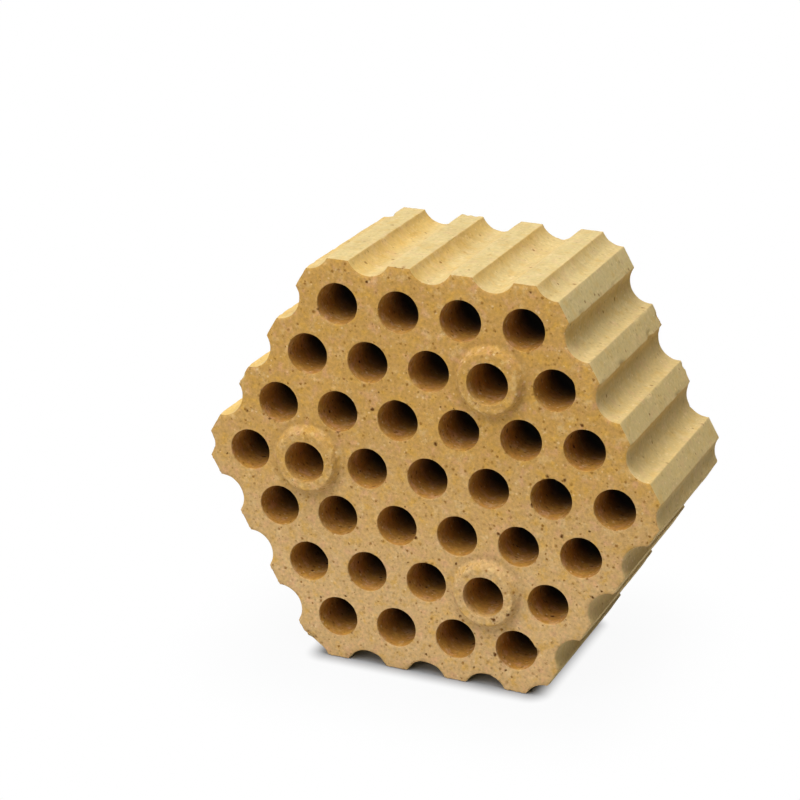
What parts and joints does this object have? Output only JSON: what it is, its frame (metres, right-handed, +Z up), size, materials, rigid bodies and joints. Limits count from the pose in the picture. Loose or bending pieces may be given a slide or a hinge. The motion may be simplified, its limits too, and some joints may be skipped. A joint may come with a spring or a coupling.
{
  "type": "refractory checker brick",
  "caption": "Hexagonal fireclay checker brick with round through channels, half-round side grooves and raised collars that key it to the next course in a hot blast stove.",
  "frame": {"origin": "middle of the standing side, on the floor, halfway between the collar tops and the back face", "axes": "+X to the right along the rows of channels, +Y away from the collared front face along the channels, +Z up"},
  "size_m": [0.297, 0.126, 0.2651],
  "materials": {
    "fireclay": "matt, fine grained, with dark iron specks"
  },
  "bodies": {
    "root": {"checker_brick": "fireclay"}
  },
  "joints": []
}
